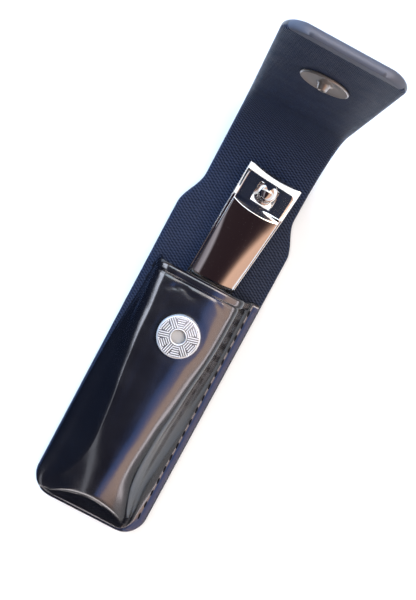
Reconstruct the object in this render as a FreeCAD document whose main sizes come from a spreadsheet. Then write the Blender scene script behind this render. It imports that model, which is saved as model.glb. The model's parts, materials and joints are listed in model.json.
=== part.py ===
import FreeCAD, Part
import Sketcher
import math
import os
import re
from types import SimpleNamespace

# Nail clipper in a leather pocket case with a snap flap, lying on its back with the flap standing open.
# X runs across the case, Y from the closed end towards the flap and Z up from the back.
# The origin is the middle of the pocket mouth, on the outer face of the back.

Vector = FreeCAD.Vector
Placement = FreeCAD.Placement
Rotation = FreeCAD.Rotation

# Driving sizes, in millimetres and degrees
DRIVING = {
    # Leather layers of the back, the neck and the flap
    "outer_sheet": "1.2",
    "lining_sheet": "0.8",
    "sheet_gap": "0.05",
    "case_corner": "6",
    "hinge_share": "0.308",
    "shoulder_low_share": "0.2",
    "shoulder_high_share": "0.445",
    "shoulder_round_share": "0.355",
    "flap_width": "26",
    "flap_corner": "5.5",
    "flap_beyond": "23.4",
    "flap_room": "2.67",
    "fold_bend": "42",
    "jaw_room": "1.2",
    "edge_width": "1.6",
    "edge_round": "0.9",
    # Pocket front and its seam
    "front_leather": "1.3",
    "pocket_room": "4.2",
    "rear_room": "20.3",
    "seam_margin": "3.15",
    "flange_margin": "0.5",
    "ridge_lean": "2.5",
    "ridge_radius": "3",
    "slope_length": "29",
    "pocket_drop": "6",
    "end_slope": "50",
    "end_margin": "1.6",
    "stitch_pitch": "3.6",
    "stitch_length": "2.5",
    "stitch_radius": "0.4",
    "stitch_aside": "0.9",
    # Magnetic snap
    "snap_diameter": "11",
    "snap_back": "15.1",
    "snap_wall": "0.4",
    "snap_gap": "0.1",
    "socket_height": "2.2",
    "socket_base_sheet": "0.4",
    "socket_hole": "3.6",
    "magnet_hole": "4.6",
    "stud_sheet": "0.7",
    "stud_gap": "0.15",
    "nub_root": "2.6",
    "nub_tip": "2",
    "nub_height": "1.2",
    "washer_diameter": "9.6",
    "washer_sheet": "0.4",
    "prong_sheet": "0.3",
    "prong_width": "2.4",
    "prong_spread": "6",
    "prong_foot": "1.2",
    # Clipper blades
    "clip_length": "82",
    "clip_reach": "31.3",
    "clip_aside": "3.1",
    "clip_tilt": "4.3",
    "jaw_width": "15",
    "jaw_corner": "0.8",
    "waist_width": "12.8",
    "waist_back": "31",
    "rear_width": "11",
    "rear_corner": "4.5",
    "blade_sheet": "1.3",
    "blade_lift": "0.9",
    "blade_angle": "4.8",
    "blade_bend": "8",
    "junction_length": "9",
    "jaw_length": "9",
    "jaw_rise": "3.7",
    "jaw_bevel": "1",
    "jaw_land": "0.5",
    "jaw_gap": "1.5",
    "rivet_diameter": "2",
    "rivet_head_diameter": "3.4",
    "rivet_head": "0.45",
    "rivet_head_gap": "0.15",
    "rivet_spread": "4.6",
    "rivet_behind": "2",
    "rivet_clear": "0.1",
    # Clipper pin and lever
    "pin_back": "4.8",
    "pin_diameter": "4",
    "pin_clear": "0.08",
    "pin_sway": "0.35",
    "pin_foot_diameter": "6",
    "pin_ball": "5",
    "floor_gap": "0.3",
    "ball_gap": "0.3",
    "lever_sheet": "1.4",
    "lever_nose_back": "2.2",
    "lever_bar": "1",
    "lever_bend_back": "10.3",
    "lever_bend_round": "4",
    "lever_nose_gap": "0.3",
    "lever_bend_gap": "1.4",
    "lever_tail_gap": "1.2",
    "lever_tail_short": "4",
    "lever_nose_width": "13.4",
    "lever_waist_width": "12",
    "lever_tail_width": "9.8",
    "lever_nose_corner": "0.9",
    "lever_tail_corner": "3.5",
    "window_length": "5.2",
    "window_width": "5.6",
}

# Sizes that follow from the driving ones
DERIVED = {
    "sheet_stack": "outer_sheet + lining_sheet",
    # Heights of the clipper, from the lining up
    "blade_floor": "sheet_stack + blade_lift",
    "joint_height": "blade_floor + blade_sheet",
    "upper_height": "joint_height + blade_sheet",
    "junction_back": "clip_length - junction_length",
    "lower_edge": "blade_floor + jaw_rise",
    "upper_edge": "lower_edge + jaw_gap",
    "upper_tip": "upper_edge + jaw_bevel",
    "blade_rise": "(junction_back - jaw_length) * tan(blade_angle)",
    "upper_bend": "joint_height + blade_rise",
    "upper_bend_top": "upper_bend + blade_sheet",
    "jaw_slope": "(upper_bend_top - upper_tip) / (jaw_length - jaw_land)",
    "lever_nose_floor": "upper_tip + (lever_nose_back - jaw_land) * jaw_slope + lever_nose_gap",
    "lever_bend_floor": "upper_height + (junction_back - lever_bend_back) * tan(blade_angle) + lever_bend_gap",
    "lever_tail_floor": "upper_height + lever_tail_gap",
    "lever_tail_back": "clip_length - lever_tail_short",
    "lever_slope": "(lever_bend_floor - lever_nose_floor) / (lever_bend_back - lever_nose_back)",
    "lever_upright": "lever_sheet * sqrt(1 + lever_slope ^ 2)",
    "bar_reach": "pin_back - lever_nose_back - lever_bar",
    "bar_top": "lever_nose_floor + lever_bar * lever_slope + lever_upright",
    "neck_radius": "bar_reach - ball_gap",
    "shaft_top": "lever_nose_floor - ball_gap",
    "pin_floor": "sheet_stack + floor_gap",
    "ball_centre": "bar_top + ball_gap + sqrt((pin_ball / 2) ^ 2 - bar_reach ^ 2)",
    "clip_height": "ball_centre + pin_ball / 2",
    # The closed flap lies over the pin's head, and the pocket front under the closed snap
    "closed_height": "clip_height + flap_room",
    "wall_length": "closed_height - sheet_stack",
    "fold_start": "clip_reach + jaw_room",
    "back_hinge": "fold_start * hinge_share",
    "neck_span": "fold_start - back_hinge",
    "shoulder_low": "back_hinge + neck_span * shoulder_low_share",
    "shoulder_high": "fold_start - neck_span * shoulder_high_share",
    "shoulder_round": "neck_span * shoulder_round_share",
    "stud_along": "fold_start + snap_back",
    "flap_length": "stud_along + flap_beyond",
    "front_height": "closed_height - stud_sheet - stud_gap - socket_height",
    # Outline of the case
    "pocket_length": "clip_length - clip_reach + rear_room",
    "foot_half": "jaw_width / 2 + pocket_room + front_leather",
    "case_half": "foot_half + seam_margin",
    "flange_half": "case_half - flange_margin",
    "flap_half": "flap_width / 2",
    "flap_inset": "flap_half - edge_width - sheet_gap",
    "flap_inset_tip": "flap_length - edge_width - sheet_gap",
    "flap_inset_corner": "flap_corner - edge_width - sheet_gap",
    "recess_depth": "washer_sheet + prong_sheet + sheet_gap",
    "magnet_height": "socket_height - snap_wall - socket_base_sheet - snap_gap",
    "snap_inner": "snap_diameter / 2 - snap_wall",
}

doc = FreeCAD.newDocument("ClipperCase")
sheet = doc.addObject("Spreadsheet::Sheet", "Sizes")


def fill_sheet():
    """Write every size into the sheet and return the values by name."""
    cells = dict(DRIVING)
    cells.update((name, "=" + formula) for name, formula in DERIVED.items())
    for row, (name, content) in enumerate(cells.items(), start=1):
        sheet.set(f"A{row}", name)
        sheet.set(f"B{row}", content)
        sheet.setAlias(f"B{row}", name)
    doc.recompute()
    return SimpleNamespace(**{name: float(sheet.get(name)) for name in cells})


size = fill_sheet()


def bound(formula):
    """A formula with each size written as a reference into the sheet."""
    def reference(word):
        return f"Sizes.{word[0]}" if hasattr(size, word[0]) else word[0]
    return re.sub(r"[a-z_]\w*", reference, formula)


def attached_sketch(body, plane, start):
    """A sketch on one of the body's own origin planes, raised by the start formula."""
    sketch = body.newObject("Sketcher::SketchObject", body.Name + "_outline")
    support = [feature for feature in body.Origin.OriginFeatures if feature.Role == plane]
    sketch.AttachmentSupport = [(support[0], "")]
    sketch.MapMode = "FlatFace"
    sketch.setExpression("AttachmentOffset.Base.z", bound(start))
    return sketch


def draw_polygon(sketch, corners):
    """A closed outline whose corners start with two formulas, measured from the sketch's origin."""
    count = len(corners)
    turns = [2 * math.pi * index / count for index in range(count)]
    ring = [Vector(math.cos(turn), math.sin(turn), 0) for turn in turns]
    for index in range(count):
        sketch.addGeometry(Part.LineSegment(ring[index], ring[(index + 1) % count]))
    for index in range(count):
        sketch.addConstraint(Sketcher.Constraint("Coincident", index, 2, (index + 1) % count, 1))
    for index, (across, along, *_) in enumerate(corners):
        for kind, formula, first in (("DistanceX", across, ring[index].x), ("DistanceY", along, ring[index].y)):
            number = sketch.addConstraint(Sketcher.Constraint(kind, -1, 1, index, 1, first))
            sketch.setExpression(f"Constraints[{number}]", bound(formula))


def corner_edges(feature, sketch, indices):
    """Names of the feature's straight edges that rise from the given corners of its sketch."""
    normal = sketch.Placement.Rotation.multVec(Vector(0, 0, 1))
    names = []
    for index in indices:
        corner = sketch.Placement.multVec(sketch.getPoint(index, 1))
        for number, edge in enumerate(feature.Shape.Edges, start=1):
            offset = edge.Vertexes[0].Point - corner
            aside = offset - normal * offset.dot(normal)
            upright = abs(edge.tangentAt(edge.FirstParameter).dot(normal)) > 0.999
            if upright and aside.Length < 0.001:
                names.append(f"Edge{number}")
    return names


def radii(corners):
    """The corners that name a radius as their third formula, gathered by that radius."""
    gathered = {}
    for index, corner in enumerate(corners):
        for radius in corner[2:]:
            gathered.setdefault(radius, []).append(index)
    return gathered


def prism(label, plane, corners, depth, start="0", symmetric=False, place=None):
    """A padded outline whose corners are rounded where they name a radius."""
    body = doc.addObject("PartDesign::Body", label)
    body.Label = label
    sketch = attached_sketch(body, plane, start)
    draw_polygon(sketch, corners)
    pad = body.newObject("PartDesign::Pad", label + "_pad")
    pad.Profile = sketch
    pad.setExpression("Length", bound(depth))
    pad.SideType = "Symmetric" if symmetric else "One side"
    doc.recompute()
    feature = pad
    for radius, indices in radii(corners).items():
        names = corner_edges(feature, sketch, indices)
        fillet = body.newObject("PartDesign::Fillet", label + "_round")
        fillet.Base = (feature, names)
        fillet.setExpression("Radius", bound(radius))
        doc.recompute()
        feature = fillet
    if place:
        body.Placement = place
    return body


def box(label, length, width, height, corner, place):
    """A block whose low corner is given in the frame of its place."""
    block = doc.addObject("Part::Box", label)
    block.setExpression("Length", bound(length))
    block.setExpression("Width", bound(width))
    block.setExpression("Height", bound(height))
    block.Placement = place.multiply(Placement(corner, Rotation()))
    return block


def cylinder(label, radius, height, foot, place):
    """A round bar standing on its foot point in the frame of its place."""
    bar = doc.addObject("Part::Cylinder", label)
    bar.setExpression("Radius", bound(radius))
    bar.setExpression("Height", bound(height))
    bar.Placement = place.multiply(Placement(foot, Rotation()))
    return bar


def joined(label, pieces):
    whole = doc.addObject("Part::MultiFuse", label)
    whole.Label = label
    whole.Shapes = pieces
    return whole


def common(label, first, second):
    shared = doc.addObject("Part::Common", label)
    shared.Label = label
    shared.Base = first
    shared.Tool = second
    return shared


def cut(label, base, tools):
    """The base less one tool after another; the last result carries the label."""
    for index, tool in enumerate(tools):
        last = index == len(tools) - 1
        name = label if last else f"{label}_step"
        result = doc.addObject("Part::Cut", name)
        result.Label = result.Name
        result.Base = base
        result.Tool = tool
        base = result
    return base


nodes = {}


def keep(piece):
    nodes[piece.Label] = piece
    return piece


# Frames of the leather: the case and the neck lie flat, each fold turns on the lining's face
LINING_FACE = Placement(Vector(0, 0, size.sheet_stack), Rotation())


def fold_places():
    """Frames of the neck's end wall and of the flap, in order."""
    places = []
    point = Vector(0, size.fold_start, size.sheet_stack)
    for number in range(1, 3):
        turned = Rotation(Vector(1, 0, 0), number * size.fold_bend)
        places.append(Placement(point, turned))
        point = places[-1].multVec(Vector(0, size.wall_length, 0))
    return places


NECK_WALL, FLAP = fold_places()
CLIP = Placement(Vector(size.clip_aside, size.clip_reach, 0), Rotation(Vector(0, 0, 1), -size.clip_tilt))


def rectangle(half, low, high, low_round=(), high_round=()):
    """A rectangle about the middle line, with a radius for its two low or its two high corners."""
    left = f"-({half})"
    return [(left, low, *low_round), (half, low, *low_round), (half, high, *high_round), (left, high, *high_round)]


def outer_layer(label, corners, place):
    return prism(label, "XY_Plane", corners, "outer_sheet", "-sheet_stack", place=place)


def lining_layer(label, corners, place):
    return prism(label, "XY_Plane", corners, "lining_sheet", "-lining_sheet", place=place)


# Back of the case: one outer leather and one lining, with rounded lower corners
def make_back():
    corners = rectangle("case_half", "-pocket_length", "back_hinge - sheet_gap", low_round=["case_corner"])
    keep(outer_layer("back_outer", corners, LINING_FACE))
    keep(lining_layer("back_lining", corners, LINING_FACE))


# Neck: a shouldered root that swings back, then the wall that stands in front of the jaws when closed
def make_neck():
    root = [
        ("-case_half", "back_hinge + sheet_gap"),
        ("case_half", "back_hinge + sheet_gap"),
        ("case_half", "shoulder_low", "shoulder_round"),
        ("flap_half", "shoulder_high", "shoulder_round"),
        ("flap_half", "fold_start - sheet_gap"),
        ("-flap_half", "fold_start - sheet_gap"),
        ("-flap_half", "shoulder_high", "shoulder_round"),
        ("-case_half", "shoulder_low", "shoulder_round"),
    ]
    keep(outer_layer("neck_root_outer", root, LINING_FACE))
    keep(lining_layer("neck_root_lining", root, LINING_FACE))
    wall = rectangle("flap_half", "sheet_gap", "wall_length - sheet_gap")
    keep(outer_layer("neck_wall_outer", wall, NECK_WALL))
    keep(lining_layer("neck_wall_lining", wall, NECK_WALL))


# Two prongs that hold a snap half through the leather, turned outwards under its washer
def prongs(label, place, depth):
    drop = f"{depth} + washer_sheet + prong_sheet"
    lift = getattr(size, depth) + size.washer_sheet + size.prong_sheet
    pieces = []
    for side, sign in (("left", -1), ("right", 1)):
        inner = sign * size.prong_spread / 2
        post_low = min(inner, inner - sign * size.prong_sheet)
        foot_low = min(inner, inner + sign * size.prong_foot)
        post = Vector(post_low, -size.prong_width / 2, -lift)
        foot = Vector(foot_low, -size.prong_width / 2, -lift)
        pieces.append(box(f"{label}_{side}", "prong_sheet", "prong_width", drop, post, place))
        pieces.append(box(f"{label}_{side}_foot", "prong_foot", "prong_width", "prong_sheet", foot, place))
    return pieces


def prong_slots(label, place, depth):
    """Slots for the two posts, with a gap all round and open at both faces."""
    tall = f"{depth} + 2 * washer_sheet + 2 * prong_sheet"
    low = -getattr(size, depth) - 1.5 * size.washer_sheet - size.prong_sheet
    slots = []
    for side, sign in (("left", -1), ("right", 1)):
        inner = sign * size.prong_spread / 2
        low_x = min(inner, inner - sign * size.prong_sheet) - size.sheet_gap
        corner = Vector(low_x, -size.prong_width / 2 - size.sheet_gap, low)
        wide = "prong_sheet + 2 * sheet_gap"
        slots.append(box(f"{label}_{side}", wide, "prong_width + 2 * sheet_gap", tall, corner, place))
    return slots


def make_washer(label, place, depth):
    foot = Vector(0, 0, -getattr(size, depth) - size.washer_sheet)
    disc = cylinder(f"{label}_disc", "washer_diameter / 2", "washer_sheet", foot, place)
    keep(cut(label, disc, prong_slots(f"{label}_slot", place, depth)))


# Flap: two layers inside a turned edge, and the stud half of the snap
def make_flap():
    inner = rectangle("flap_inset", "sheet_gap", "flap_inset_tip", high_round=["flap_inset_corner"])
    snap = FLAP.multiply(Placement(Vector(0, size.stud_along, 0), Rotation()))

    lining = lining_layer("flap_lining_sheet", inner, FLAP)
    keep(cut("flap_lining", lining, prong_slots("flap_lining_slot", snap, "lining_sheet")))

    outer = outer_layer("flap_outer_sheet", inner, FLAP)
    recess_floor = Vector(0, 0, -size.lining_sheet - size.recess_depth)
    recess_radius = "washer_diameter / 2 + sheet_gap"
    recess = cylinder("flap_recess", recess_radius, "recess_depth + sheet_gap", recess_floor, snap)
    keep(cut("flap_outer", outer, [recess]))

    rim = rectangle("flap_half", "sheet_gap", "flap_length", high_round=["flap_corner"])
    whole = prism("flap_edge_whole", "XY_Plane", rim, "sheet_stack", "-sheet_stack")
    round_rim(whole)
    whole.Placement = FLAP
    hollow_outline = rectangle("flap_half - edge_width", "-edge_width", "flap_length - edge_width",
                               high_round=["flap_corner - edge_width"])
    hollow = prism("flap_edge_hollow", "XY_Plane", hollow_outline, "3 * sheet_stack", "-2 * sheet_stack",
                   place=FLAP)
    keep(cut("flap_edge", whole, [hollow]))

    plate = cylinder("stud_disc", "snap_diameter / 2", "stud_sheet", Vector(), snap)
    nub = doc.addObject("Part::Cone", "stud_nub")
    nub.setExpression("Radius1", bound("nub_root / 2"))
    nub.setExpression("Radius2", bound("nub_tip / 2"))
    nub.setExpression("Height", bound("nub_height"))
    nub.Placement = snap.multiply(Placement(Vector(0, 0, size.stud_sheet), Rotation()))
    keep(joined("stud_plate", [plate, nub] + prongs("stud_prong", snap, "lining_sheet")))
    make_washer("stud_washer", snap, "lining_sheet")


def round_rim(body):
    """Round the outer rim of the flap's edge, top and bottom, along its sides and its tip."""
    base = body.Tip
    names = []
    for number, edge in enumerate(base.Shape.Edges, start=1):
        bounds = edge.BoundBox
        in_face = bounds.ZLength < 0.001
        at_root = bounds.YMax < size.sheet_gap + 0.001
        if in_face and not at_root:
            names.append(f"Edge{number}")
    fillet = body.newObject("PartDesign::Fillet", body.Name + "_rim")
    fillet.Base = (base, names)
    fillet.setExpression("Radius", bound("edge_round"))
    doc.recompute()


# Pocket front: a bulged leather shell with rounded ridges, a sloping end and a seam flange
def pocket_section(y, top, inset):
    """The pocket's section at y: a flat top, two rounded ridges and two flanks down to the lining."""
    lean = size.ridge_lean / (size.front_height - size.sheet_stack)
    foot = size.foot_half - inset
    high = top - inset
    ridge = foot - lean * (high - size.sheet_stack)
    radius = size.ridge_radius - inset
    up = Vector(-lean, 0, 1).normalize()
    inward = Vector(-1, 0, 0)
    half_turn = (math.pi - up.getAngle(inward)) / 2
    tangent = radius / math.tan(half_turn)
    corner = Vector(ridge, y, high)
    on_flank = corner - up * tangent
    on_top = corner + inward * tangent
    towards = (inward - up).normalize()
    on_round = corner + towards * (radius / math.sin(half_turn) - radius)

    def mirrored(point):
        return Vector(-point.x, point.y, point.z)

    right_foot = Vector(foot, y, size.sheet_stack)
    edges = [
        Part.makeLine(mirrored(right_foot), right_foot),
        Part.makeLine(right_foot, on_flank),
        Part.Arc(on_flank, on_round, on_top).toShape(),
        Part.makeLine(on_top, mirrored(on_top)),
        Part.Arc(mirrored(on_top), mirrored(on_round), mirrored(on_flank)).toShape(),
        Part.makeLine(mirrored(on_flank), mirrored(right_foot)),
    ]
    return Part.Wire(edges)


def pocket_form(label, inset, mouth):
    """The pocket's outer form, or its hollow where inset by the leather, cut by the sloping end."""
    overrun = size.end_margin
    end_top = size.front_height - size.pocket_drop * (1 + overrun / size.slope_length)
    stations = [
        (mouth, size.front_height),
        (-(size.pocket_length - size.slope_length), size.front_height),
        (-size.pocket_length - overrun, end_top),
    ]
    loft = Part.makeLoft([pocket_section(y, top, inset) for y, top in stations], True, True)
    steep = math.radians(size.end_slope)
    end_foot = -size.pocket_length + size.end_margin + inset / math.sin(steep)
    wide = 4 * size.case_half
    beyond = Part.makeBox(wide, wide, wide)
    beyond.translate(Vector(-wide / 2, -wide / 2, 0))
    beyond.Placement = Placement(
        Vector(0, end_foot, size.sheet_stack), Rotation(Vector(1, 0, 0), size.end_slope)
    ).multiply(beyond.Placement)
    form = doc.addObject("Part::Feature", label)
    form.Shape = loft.cut(beyond)
    return form


def make_pocket():
    flange_outline = rectangle("flange_half", "-(pocket_length - flange_margin)", "0",
                               low_round=["case_corner - flange_margin"])
    flange = prism("pocket_flange", "XY_Plane", flange_outline, "front_leather", "0", place=LINING_FACE)
    outer = pocket_form("pocket_outer", 0, 0)
    hollow = pocket_form("pocket_hollow", size.front_leather, size.front_leather)
    shell = joined("pocket_shell", [outer, flange])
    slots = prong_slots("pocket_slot", socket_place(), "front_leather")
    keep(cut("pocket_front", shell, [hollow] + slots))


# Seam stitches: half-round threads along each side, lying on the seam flange
def make_stitches():
    half = size.foot_half + size.stitch_aside
    top = size.sheet_stack + size.front_leather
    run = size.pocket_length - size.case_corner - size.stitch_pitch
    count = int(run / size.stitch_pitch)
    for side, sign in (("left", -1), ("right", 1)):
        stitches = []
        for index in range(count):
            start = Vector(sign * half, -size.stitch_pitch * (index + 0.5), top)
            thread = Part.makeCylinder(size.stitch_radius, size.stitch_length, Vector(), Vector(0, 0, 1), 180)
            thread.Placement = Placement(start, Rotation(Vector(1, 0, 0), 90))
            stitches.append(thread)
        row = doc.addObject("Part::Feature", f"seam_stitches_{side}")
        row.Label = f"seam_stitches_{side}"
        row.Shape = Part.makeCompound(stitches)
        keep(row)


# Socket half of the snap: a pierced cover over a ring magnet, on a base held by prongs
def socket_place():
    return Placement(Vector(0, -size.snap_back, size.front_height), Rotation())


def make_socket():
    place = socket_place()
    disc = cylinder("socket_disc", "snap_inner - snap_gap", "socket_base_sheet", Vector(), place)
    keep(joined("socket_base", [disc] + prongs("socket_prong", place, "front_leather")))
    make_washer("socket_washer", place, "front_leather")

    on_base = Vector(0, 0, size.socket_base_sheet)
    ring = cylinder("magnet_ring", "snap_inner - snap_gap", "magnet_height", on_base, place)
    bore = cylinder("magnet_bore", "magnet_hole / 2", "magnet_height", on_base, place)
    keep(cut("socket_magnet", ring, [bore]))

    cap = cylinder("cover_cap", "snap_diameter / 2", "socket_height", Vector(), place)
    inside = cylinder("cover_inside", "snap_inner", "socket_height - snap_wall", Vector(), place)
    hole = cylinder("cover_hole", "socket_hole / 2", "socket_height", Vector(), place)
    keep(cut("socket_cover", cap, [inside, hole]))


# Clipper blades: sheet strips seen from above, crossed with their bent side profiles
def blade_plan(label):
    corners = [
        ("-jaw_width / 2", "0", "jaw_corner"),
        ("-waist_width / 2", "-waist_back"),
        ("-rear_width / 2", "-clip_length", "rear_corner"),
        ("rear_width / 2", "-clip_length", "rear_corner"),
        ("waist_width / 2", "-waist_back"),
        ("jaw_width / 2", "0", "jaw_corner"),
    ]
    return prism(label, "XY_Plane", corners, "clip_height", place=CLIP)


def side_profile(label, corners):
    return prism(label, "YZ_Plane", corners, "2 * jaw_width", symmetric=True, place=CLIP)


def clip_bore(label, radius, back, aside=0):
    return cylinder(label, radius, "clip_height", Vector(aside, -back, 0), CLIP)


def rivet_spots():
    back = size.junction_back + size.rivet_behind
    return [("left", -size.rivet_spread / 2, back), ("right", size.rivet_spread / 2, back)]


def rivet_bores(label):
    radius = "rivet_diameter / 2 + rivet_clear"
    return [clip_bore(f"{label}_{side}", radius, back, aside) for side, aside, back in rivet_spots()]


def make_blades():
    lower = [
        ("-clip_length", "blade_floor"),
        ("-jaw_length", "blade_floor", "blade_bend"),
        ("-jaw_land", "lower_edge - jaw_bevel"),
        ("0", "lower_edge"),
        ("-jaw_length", "joint_height", "blade_bend"),
        ("-clip_length", "joint_height"),
    ]
    profile = side_profile("lower_profile", lower)
    strip = common("lower_strip", profile, blade_plan("lower_plan"))
    bore = clip_bore("lower_pin_bore", "pin_diameter / 2 + pin_clear", size.pin_back)
    keep(cut("lower_blade", strip, [bore] + rivet_bores("lower_rivet_bore")))

    upper = [
        ("-clip_length", "joint_height"),
        ("-junction_back", "joint_height"),
        ("-jaw_length", "upper_bend", "blade_bend"),
        ("0", "upper_edge"),
        ("-jaw_land", "upper_tip"),
        ("-jaw_length", "upper_bend_top", "blade_bend"),
        ("-junction_back", "upper_height"),
        ("-clip_length", "upper_height"),
    ]
    profile = side_profile("upper_profile", upper)
    strip = common("upper_strip", profile, blade_plan("upper_plan"))
    bore = clip_bore("upper_pin_bore", "pin_diameter / 2 + pin_sway", size.pin_back)
    keep(cut("upper_blade", strip, [bore] + rivet_bores("upper_rivet_bore")))


# Two rivets hold the blades together at the rear
def make_rivets():
    pieces = []
    head_radius = "rivet_head_diameter / 2"
    shank = "2 * blade_sheet + rivet_head_gap + 2 * rivet_head"
    low = size.blade_floor - size.rivet_head
    high = size.upper_height + size.rivet_head_gap
    for side, aside, back in rivet_spots():
        spot = Vector(aside, -back, 0)
        pieces.append(cylinder(f"rivet_{side}_shank", "rivet_diameter / 2", shank, spot + Vector(0, 0, low), CLIP))
        pieces.append(cylinder(f"rivet_{side}_foot", head_radius, "rivet_head", spot + Vector(0, 0, low), CLIP))
        pieces.append(cylinder(f"rivet_{side}_head", head_radius, "rivet_head", spot + Vector(0, 0, high), CLIP))
    keep(joined("rear_rivets", pieces))


# Pin: a foot under the lower blade, a shaft, a neck for the lever's bar and a ball head
def make_pin():
    spot = Vector(0, -size.pin_back, 0)
    floor = spot + Vector(0, 0, size.pin_floor)
    foot = cylinder("pin_foot", "pin_foot_diameter / 2", "blade_lift - floor_gap - sheet_gap", floor, CLIP)
    shaft = cylinder("pin_shaft", "pin_diameter / 2", "shaft_top - pin_floor", floor, CLIP)
    neck_floor = spot + Vector(0, 0, size.shaft_top)
    neck = cylinder("pin_neck", "neck_radius", "ball_centre - shaft_top", neck_floor, CLIP)
    ball = doc.addObject("Part::Sphere", "pin_head")
    ball.setExpression("Radius", bound("pin_ball / 2"))
    ball.Placement = CLIP.multiply(Placement(spot + Vector(0, 0, size.ball_centre), Rotation()))
    keep(joined("pin", [foot, shaft, neck, ball]))


# Lever: folded away over the upper blade, its nose bent down to the pin, with a window for the head
def make_lever():
    side = [
        ("-lever_tail_back", "lever_tail_floor"),
        ("-lever_bend_back", "lever_bend_floor", "lever_bend_round"),
        ("-lever_nose_back", "lever_nose_floor"),
        ("-lever_nose_back", "lever_nose_floor + lever_upright"),
        ("-lever_bend_back", "lever_bend_floor + lever_upright", "lever_bend_round"),
        ("-lever_tail_back", "lever_tail_floor + lever_sheet"),
    ]
    profile = side_profile("lever_profile", side)
    plan = [
        ("-lever_nose_width / 2", "-lever_nose_back", "lever_nose_corner"),
        ("-lever_waist_width / 2", "-waist_back"),
        ("-lever_tail_width / 2", "-lever_tail_back", "lever_tail_corner"),
        ("lever_tail_width / 2", "-lever_tail_back", "lever_tail_corner"),
        ("lever_waist_width / 2", "-waist_back"),
        ("lever_nose_width / 2", "-lever_nose_back", "lever_nose_corner"),
    ]
    outline = prism("lever_plan", "XY_Plane", plan, "clip_height", place=CLIP)
    strip = common("lever_strip", profile, outline)
    window_start = Vector(
        -size.window_width / 2, -size.lever_nose_back - size.lever_bar - size.window_length, 0
    )
    window = box("lever_window", "window_width", "window_length", "clip_height", window_start, CLIP)
    keep(cut("lever", strip, [window]))


def check_and_write():
    """Stop on any failed object, then write one file for each sub-part."""
    doc.recompute()
    for item in doc.Objects:
        if "Invalid" in item.State or "Error" in item.State:
            raise RuntimeError(f"{item.Label} failed: {item.State}")
    os.makedirs("parts", exist_ok=True)
    for label, piece in nodes.items():
        shape = piece.Shape
        if shape.isNull() or not shape.isValid() or not shape.Solids:
            raise RuntimeError(f"{label} has no valid solid")
        shape.exportStep(f"parts/{label}.step")


make_back()
make_neck()
make_flap()
make_pocket()
make_stitches()
make_socket()
make_blades()
make_rivets()
make_pin()
make_lever()
check_and_write()
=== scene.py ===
import bmesh
import bpy
import json
import math
from mathutils import Matrix, Vector, noise


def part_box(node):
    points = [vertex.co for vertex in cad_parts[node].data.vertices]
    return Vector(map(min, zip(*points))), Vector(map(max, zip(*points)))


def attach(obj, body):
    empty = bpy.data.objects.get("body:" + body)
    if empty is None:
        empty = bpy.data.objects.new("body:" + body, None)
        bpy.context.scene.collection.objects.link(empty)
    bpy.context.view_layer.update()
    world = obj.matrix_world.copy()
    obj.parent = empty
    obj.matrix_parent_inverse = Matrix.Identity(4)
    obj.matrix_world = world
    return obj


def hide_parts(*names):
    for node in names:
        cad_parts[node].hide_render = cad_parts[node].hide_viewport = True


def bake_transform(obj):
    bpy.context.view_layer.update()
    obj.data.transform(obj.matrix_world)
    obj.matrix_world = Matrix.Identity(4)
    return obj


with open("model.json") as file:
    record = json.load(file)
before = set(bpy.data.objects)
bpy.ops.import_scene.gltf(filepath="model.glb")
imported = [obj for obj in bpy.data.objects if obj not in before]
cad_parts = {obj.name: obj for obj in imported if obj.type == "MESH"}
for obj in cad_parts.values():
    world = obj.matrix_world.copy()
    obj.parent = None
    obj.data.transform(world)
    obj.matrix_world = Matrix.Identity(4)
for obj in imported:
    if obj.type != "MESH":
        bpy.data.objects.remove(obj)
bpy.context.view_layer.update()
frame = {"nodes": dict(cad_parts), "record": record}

# Studio: a pale table top, a soft light on each side and the camera almost straight above the case.
# A dark ceiling with a pale right side hangs over it, which polished metal and gloss leather mirror.
MM = 0.001
scene = bpy.context.scene
scene.view_settings.view_transform = "Standard"


def new_object(name, mesh):
    piece = bpy.data.objects.new(name, mesh)
    scene.collection.objects.link(piece)
    return piece


def look_along(position, target, up):
    """A matrix that looks from position to target with the given direction upright."""
    back = (position - target).normalized()
    right = up.cross(back).normalized()
    turned = Matrix((right, back.cross(right), back)).transposed().to_4x4()
    return Matrix.Translation(position) @ turned


camera_data = bpy.data.cameras.new("photo_camera")
camera_data.lens = 62.6
camera_data.sensor_width = 36
camera_data.clip_start = 0.01
camera = new_object("photo_camera", camera_data)
camera.matrix_world = look_along(
    Vector((-11, 19.9, 272.6)) * MM, Vector((3.04, -5.17, 0)) * MM, Vector((-0.471, 0.882, 0)))
scene.camera = camera


def soft_light(name, position, target, width, height, power, colour, mirrored_only=False):
    lamp = bpy.data.lights.new(name, "AREA")
    lamp.shape = "RECTANGLE"
    lamp.size = width
    lamp.size_y = height
    lamp.energy = power
    lamp.color = colour
    light = new_object(name, lamp)
    light.matrix_world = look_along(Vector(position), Vector(target), Vector((0, 1, 0.1)))
    light.visible_diffuse = not mirrored_only
    return light


left_sky = soft_light("left_sky", (-0.80, 0.46, 0.5), (0, 0.02, 0), 0.6, 0.7, 18.0, (0.30, 0.58, 1.0))
right_window = soft_light("right_window", (0.8, -0.1, 0.42), (0, 0, 0), 0.3, 1.1, 4.5, (1.0, 0.90, 0.90))
REAR_LIGHTS = (("rear_sky", (-0.10, 0.30, 0.74), 2.4, (0.72, 0.86, 1.0)),
               ("rear_window", (0.22, 0.30, 0.74), 4.2, (1.0, 0.84, 0.7)))
rear_lights = [soft_light(name, spot, (0, 0.05, 0.05), 0.32, 0.36, power, colour, True)
               for name, spot, power, colour in REAR_LIGHTS]
fill_light = soft_light("top_fill", (0.0, 0.0, 1.6), (0, 0, 0), 1.6, 1.6, 17.0, (1.0, 0.95, 0.90))
for light in (left_sky, right_window, fill_light):
    light.visible_glossy = False


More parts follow.
